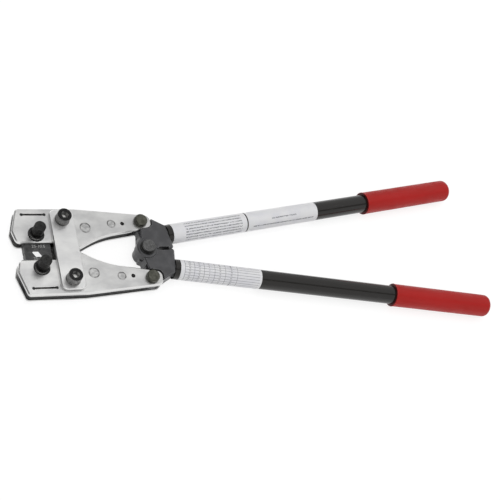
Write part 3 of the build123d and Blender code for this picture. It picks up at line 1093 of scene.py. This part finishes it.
@dataclass
class LockButton:
    """The knurled button that locks a die block, its coil spring and its clip."""

    side: Side
    steel: DarkSteel = DarkSteel(body=(0.02, 0.02, 0.02), worn=(0.12, 0.12, 0.11), roughness=0.33)
    wire: BrightSteel = BrightSteel()

    def dress(self) -> None:
        """Finishes the button and its clip."""
        for part in ("lock_button", "button_clip"):
            dress_turned(self.side.node(part), self.steel)

    def build(self) -> bpy.types.Object:
        """Makes the coil spring as a piece of its own and hides the CAD node.

        Returns:
            The piece.
        """
        node = self.side.node("button_spring")
        build = bmesh.new()
        build.from_mesh(frame["nodes"][node].data)
        wire = self.wire.material(self.side.node("wire"))
        coil = piece_from(build, self.side.node("coil"), wire, self.side.node("jaw"))
        for polygon in coil.data.polygons:
            polygon.use_smooth = True
        wanted = self.side.node("lock_button_push")
        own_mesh(coil)
        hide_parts(node)
        return coil


@dataclass
class Linkage:
    """The two link plates that join the jaws, with their tall knurled bolts and low nuts."""

    # The link plates' edges carry a brighter painted highlight.
    nickel: SatinNickel = SatinNickel(
        light=(0.76, 0.76, 0.75), dull=(0.62, 0.62, 0.62), edge=(0.95, 0.95, 0.94))
    oxide: DarkSteel = DarkSteel()
    head: SocketHead = SocketHead()

    def dress(self) -> None:
        """Finishes the linkage's nodes."""
        seams = []
        for side in Side:
            bolt, nut = side.node("link_bolt"), side.node("link_nut")
            seams.append(rim_of(bolt))
            _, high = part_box(bolt)
            dress(bolt, self.head.material(bolt + "_oxide", centre_of(bolt), high.z))
            dress_turned(nut, self.oxide)
        for name in ("link_front_plate", "link_back_plate"):
            dress(name, self.nickel.material(name + "_nickel", seams))


@dataclass
class CentrePivot:
    """The centre bolt, its washer and its nut."""

    oxide: DarkSteel = DarkSteel()
    head: DarkSteel = DarkSteel(body=(0.10, 0.10, 0.10), worn=(0.3, 0.3, 0.3), roughness=0.3)

    def dress(self) -> None:
        """Finishes the pivot's nodes."""
        dress_turned("centre_bolt", self.head)
        for name in ("centre_washer", "centre_nut"):
            dress_turned(name, self.oxide)


@dataclass
class Lever:
    """One lever: the casting, the tube on it, its films and the dipped grip.

    A film's rows are in degrees round the tube, and a table's columns in millimetres along it.
    """

    side: Side
    casting: CastEnamel = CastEnamel()
    enamel: GlossEnamel = GlossEnamel()
    vinyl: DippedVinyl = DippedVinyl()
    film: PrintedFilm = PrintedFilm()
    lip_width: float = 0.2 * MM
    line: float = 0.35 * MM
    line_angle: float = 1.6
    row_angle: float = 7.0
    dash: float = 1.1 * MM
    front_span: Step = (0.16, 0.93)
    front_rows: tuple[float, ...] = (60, 80, 98, 114, 130, 147, 166)
    rear_rows: tuple[tuple[float, float, float], ...] = ((0.33, 0.68, 112), (0.07, 0.94, 146))
    table_columns: tuple[float, ...] = (5, 17, 29.5, 43, 57, 73)
    table_rows: tuple[float, ...] = (46, 62, 78, 94, 110, 126, 142, 158, 174, 190, 206)
    table_margin: float = 3 * MM
    handle: HandleFrame = field(init=False)

    def __post_init__(self) -> None:
        """Reads the handle's axis."""
        self.handle = HandleFrame.of(self.side)

    def span(self, node: str) -> tuple[float, float]:
        """Where a node begins and ends along the handle.

        Args:
            node: the node's name.

        Returns:
            The two distances, in metres.
        """
        spots = [(Vector(v.co) - self.handle.origin).dot(self.handle.along)
                 for v in frame["nodes"][node].data.vertices]
        return min(spots), max(spots)

    def dashed_rulings(self, node: str, rows: Iterable[tuple[float, float, float]]) -> list[Ruling]:
        """Rows of uneven dashes, where a film on the real tool has lines of print.

        Args:
            node: the film's node.
            rows: where each row starts and ends, as shares of the film's length, and its angle.

        Returns:
            The rulings.
        """
        start, end = self.span(node)
        length = end - start
        found = []
        for first, last, angle in rows:
            along = (start + first * length, start + last * length)
            found.append(Ruling(along, (angle, angle + self.row_angle), self.dash))
        return found

    def table_rulings(self, node: str) -> list[Ruling]:
        """Lines of a plain table.

        Args:
            node: the film's node.

        Returns:
            The rulings.
        """
        start, end = self.span(node)
        first, last = self.table_rows[0], self.table_rows[-1]
        columns = [start + column * MM for column in self.table_columns]
        upright = [Ruling((u, u + self.line), (first, last)) for u in columns]
        across = (columns[0], end - self.table_margin)
        level = [Ruling(across, (row, row + self.line_angle)) for row in self.table_rows]
        return upright + level

    def films(self) -> list[tuple[str, str, list[Ruling]]]:
        """What is printed on this handle.

        Returns:
            Node, finish and rulings of each film.
        """
        if self.side is Side.LOWER:
            return [("lower_label", "table_film", self.table_rulings("lower_label"))]
        front = [(*self.front_span, angle) for angle in self.front_rows]
        return [
            ("upper_front_label", "front_film", self.dashed_rulings("upper_front_label", front)),
            ("upper_rear_label", "rear_film", self.dashed_rulings("upper_rear_label", self.rear_rows)),
        ]

    def dress(self) -> None:
        """Finishes the lever's nodes."""
        name = self.side.node
        dress(name("lever_casting"), self.casting.material(name("casting_enamel")))
        dress(name("handle_tube"), self.enamel.material(name("tube_enamel"), self.handle))
        mouth, _ = self.span(name("handle_grip"))
        vinyl = self.vinyl.material(name("grip_vinyl"), self.handle, mouth, self.lip_width)
        dress(name("handle_grip"), vinyl)
        for node, finish, rulings in self.films():
            dress(node, self.film.material(finish, self.handle, rulings))


@dataclass
class TableFigures:
    """Plain figures printed in the cells of the lower handle's table."""

    lever: Lever
    ink: MarkPaint = MarkPaint(body=(0.06, 0.06, 0.07), thin=(0.2, 0.2, 0.22))
    figures: Figures = Figures(height=1.7 * MM, thickness=0.02 * MM)
    rise: float = 0.05 * MM
    values: tuple[tuple[str, ...], ...] = (
        ("6", "10", "16", "25", "35", "50", "70", "95", "120", "150"),
        ("12", "10", "15", "18", "12", "10", "15", "18", "12", "10"),
        ("1", "2", "2", "3", "3", "4", "4", "5", "5", "6"),
        ("8", "9", "11", "13", "14", "16", "18", "20", "22", "24"),
        ("40", "45", "50", "55", "60", "65", "70", "75", "80", "85"),
    )

    def build(self) -> bpy.types.Object:
        """Wraps the figures round the tube.

        Returns:
            The piece.
        """
        handle = self.lever.handle
        start, _ = self.lever.span("lower_label")
        low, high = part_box("lower_label")
        radius = (high.z - low.z) / 2 + self.rise
        columns = self.lever.table_columns
        rows = self.lever.table_rows
        build = bmesh.new()
        for left, right, texts in zip(columns, columns[1:], self.values):
            middle = start + (left + right) / 2 * MM
            for near, far, text in zip(rows, rows[1:], reversed(texts)):
                level = (near + far) / 2

                def lay(point: Vector) -> Vector:
                    """Puts a point of a figure on the film."""
                    angle = level - math.degrees(point.y / radius)
                    return handle.point(middle + point.x, angle, radius + point.z)

                self.figures.engrave(build, text, lay)
        return piece_from(build, "table_figures", self.ink.material("table_ink"), "lower_lever")


# ---------------------------------------------------------------- studio
@dataclass
class Studio:
    """Plain white floor, a soft white surround with a dark card and a dark strip, and a lamp."""

    seen: tuple[str, ...] = ("Is Camera Ray",)
    mirrored: tuple[str, ...] = ("Is Glossy Ray", "Is Transmission Ray")
    floor_half: float = 7.0
    floor_cells: int = 8
    floor_colour: Colour = (0.82, 0.82, 0.82)
    shown_colour: Colour = (0.30, 0.30, 0.30)
    shown_glow: float = 0.82
    ambient: float = 0.85
    shown_level: float = 1.25
    level: float = 0.92
    slope: tuple[float, float, float] = (0.16, -0.14, 0.0)
    card_way: tuple[float, float, float] = (-0.87, 0.40, 0.30)
    card_reach: Step = (0.72, 0.93)
    card_level: float = 0.2
    strip_way: tuple[float, float, float] = (0.0, 0.886, 0.463)
    strip_reach: Step = (0.06, 0.16)
    strip_level: float = 0.25
    lamp_size: float = 1.5
    lamp_power: float = 12.0
    lamp_place: tuple[float, float, float] = (-0.3, 0.1, 2.0)

    def rays(self, nodes: Nodes, *kinds: str) -> Value:
        """Whether a ray is of one of the kinds named, 1 or 0.

        Args:
            nodes: the tree to add it to.
            kinds: outputs of the Light Path node.

        Returns:
            The mask's socket.
        """
        path = nodes.add("ShaderNodeLightPath")
        found: Value = 0.0
        for kind in kinds:
            found = nodes.maths("MAXIMUM", found, path.outputs[kind])
        return found

    def floor(self) -> None:
        """Makes the floor, white to the camera but with the tool's shadow on it."""
        build = bmesh.new()
        cells = self.floor_cells
        bmesh.ops.create_grid(build, x_segments=cells, y_segments=cells, size=self.floor_half)
        mesh = bpy.data.meshes.new("floor")
        build.to_mesh(mesh)
        build.free()
        floor = bpy.data.objects.new("floor", mesh)
        bpy.context.scene.collection.objects.link(floor)
        material = bpy.data.materials.new("floor_white")
        material.use_nodes = True
        nodes = Nodes(material.node_tree, "Object")
        plain = nodes.add("ShaderNodeBsdfDiffuse")
        nodes.feed(plain.inputs["Color"], self.floor_colour)
        shown = nodes.add("ShaderNodeBsdfDiffuse")
        nodes.feed(shown.inputs["Color"], self.shown_colour)
        glow = nodes.add("ShaderNodeEmission")
        nodes.feed(glow.inputs["Strength"], self.shown_glow)
        both = nodes.add("ShaderNodeAddShader")
        nodes.feed(both.inputs[0], shown.outputs[0])
        nodes.feed(both.inputs[1], glow.outputs[0])
        mix = nodes.add("ShaderNodeMixShader")
        nodes.feed(mix.inputs[0], self.rays(nodes, *self.seen, *self.mirrored))
        nodes.feed(mix.inputs[1], plain.outputs[0])
        nodes.feed(mix.inputs[2], both.outputs[0])
        nodes.feed(nodes.add("ShaderNodeOutputMaterial").inputs["Surface"], mix.outputs[0])
        mesh.materials.append(material)

    def surround(self) -> None:
        """Lights the scene from a soft white surround, darker at its card and its strip."""
        world = bpy.data.worlds.new("surround")
        world.use_nodes = True
        nodes = Nodes(world.node_tree, "Generated")
        slope = nodes.vector("DOT_PRODUCT", nodes.place, self.slope)
        level = nodes.maths("ADD", slope, self.level, clamp=True)
        card = nodes.vector("DOT_PRODUCT", nodes.place, self.card_way)
        level = nodes.maths("MULTIPLY", level, nodes.fade(card, *self.card_reach, 1.0, self.card_level))
        strip = nodes.maths("ABSOLUTE", nodes.vector("DOT_PRODUCT", nodes.place, self.strip_way))
        shade = nodes.fade(strip, *self.strip_reach, self.strip_level, 1.0)
        level = nodes.maths("MULTIPLY", level, shade)
        gain = nodes.fade(self.rays(nodes, *self.mirrored), 0.0, 1.0, self.ambient, 1.0)
        white = nodes.maths("MULTIPLY", self.rays(nodes, *self.seen), self.shown_level)
        level = nodes.maths("MAXIMUM", nodes.maths("MULTIPLY", level, gain), white)
        glow = nodes.add("ShaderNodeBackground")
        nodes.feed(glow.inputs["Strength"], level)
        nodes.feed(nodes.add("ShaderNodeOutputWorld").inputs["Surface"], glow.outputs[0])
        bpy.context.scene.world = world

    def lamp(self) -> None:
        """Hangs one large soft lamp above the jaws."""
        light = bpy.data.lights.new("soft_lamp", "AREA")
        light.shape = "SQUARE"
        light.size = self.lamp_size
        light.energy = self.lamp_power
        lamp = bpy.data.objects.new("soft_lamp", light)
        lamp.location = self.lamp_place
        lamp.rotation_euler = (-Vector(self.lamp_place)).to_track_quat("-Z", "Y").to_euler()
        bpy.context.scene.collection.objects.link(lamp)

    def build(self) -> None:
        """Sets up floor, surround, lamp and plain colour handling."""
        self.floor()
        self.surround()
        self.lamp()
        bpy.context.scene.view_settings.view_transform = "Standard"
        log.info("studio ready")


@dataclass
class Viewpoint:
    """Camera above the jaws, looking back along the handles, with its turns in radians."""

    lens: float = 75.78
    sensor: float = 36.0
    beyond_links: float = 239.731 * MM
    aside: float = 0.755 * MM
    distance: float = 1307.89 * MM
    tilt: float = -0.4179
    swing: float = 0.5534
    roll: float = 0.2628

    def build(self) -> None:
        """Makes the camera and hands it to the scene."""
        links = centre_of("upper_link_bolt")
        level = HandleFrame.of(Side.UPPER).origin.z
        target = Vector((links.x + self.beyond_links, self.aside, level))
        turn = (Matrix.Rotation(-self.swing, 3, "Y") @ Matrix.Rotation(-self.tilt, 3, "X")
                @ Matrix.Rotation(-self.roll, 3, "Z"))
        data = bpy.data.cameras.new("viewpoint")
        data.lens = self.lens
        data.sensor_width = self.sensor
        camera = bpy.data.objects.new("viewpoint", data)
        camera.location = target + turn @ Vector((0, 0, self.distance))
        camera.rotation_euler = turn.to_euler()
        bpy.context.scene.collection.objects.link(camera)
        bpy.context.scene.camera = camera
        log.info("camera ready")


def main() -> None:
    """Builds the camera, the studio and every part of the tool, in order."""
    logging.basicConfig(level=logging.INFO, format="%(message)s")
    Viewpoint().build()
    Studio().build()
    Linkage().dress()
    CentrePivot().dress()
    for side in Side:
        Jaw(side).dress()
        dies = Dies(side)
        dies.dress()
        dies.build()
        button = LockButton(side)
        button.dress()
        button.build()
        Lever(side).dress()
    TableFigures(Lever(Side.LOWER)).build()


if __name__ == "__main__":
    main()
